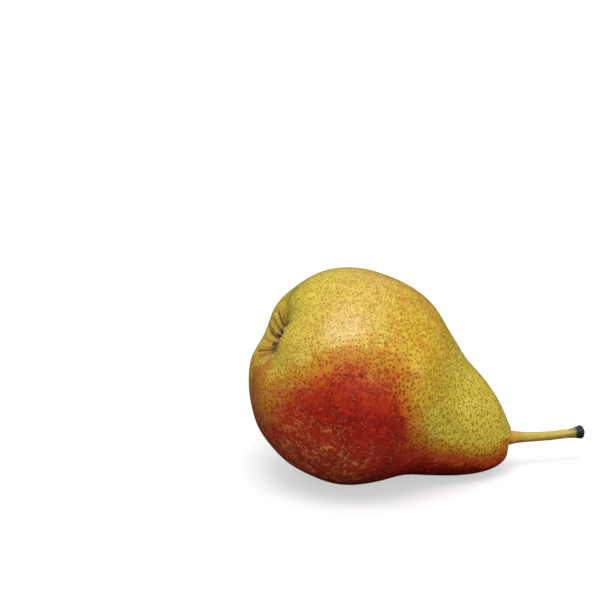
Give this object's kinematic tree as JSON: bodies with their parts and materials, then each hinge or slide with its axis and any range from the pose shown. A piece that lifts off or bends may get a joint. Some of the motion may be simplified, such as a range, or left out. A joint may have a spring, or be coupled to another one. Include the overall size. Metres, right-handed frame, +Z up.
{
  "type": "pear",
  "caption": "Whole yellow pear with a red blush and a short cut stem, lying on its side on its belly and neck.",
  "frame": {"origin": "on the surface it lies on, below the middle of the bounding box", "axes": "+X lengthways towards the stem, +Y across, +Z up, resting on z = 0"},
  "size_m": [0.1106, 0.0696, 0.0699],
  "materials": {
    "fruit_skin": "satin",
    "stem_wood": "matte",
    "calyx_dry": "matte"
  },
  "bodies": {
    "root": {"fruit": "fruit_skin", "stem": "stem_wood", "calyx_cup": "calyx_dry", "sepal_1": "calyx_dry", "sepal_2": "calyx_dry", "sepal_3": "calyx_dry", "sepal_4": "calyx_dry", "sepal_5": "calyx_dry", "stamen_tuft": "calyx_dry"}
  },
  "joints": []
}
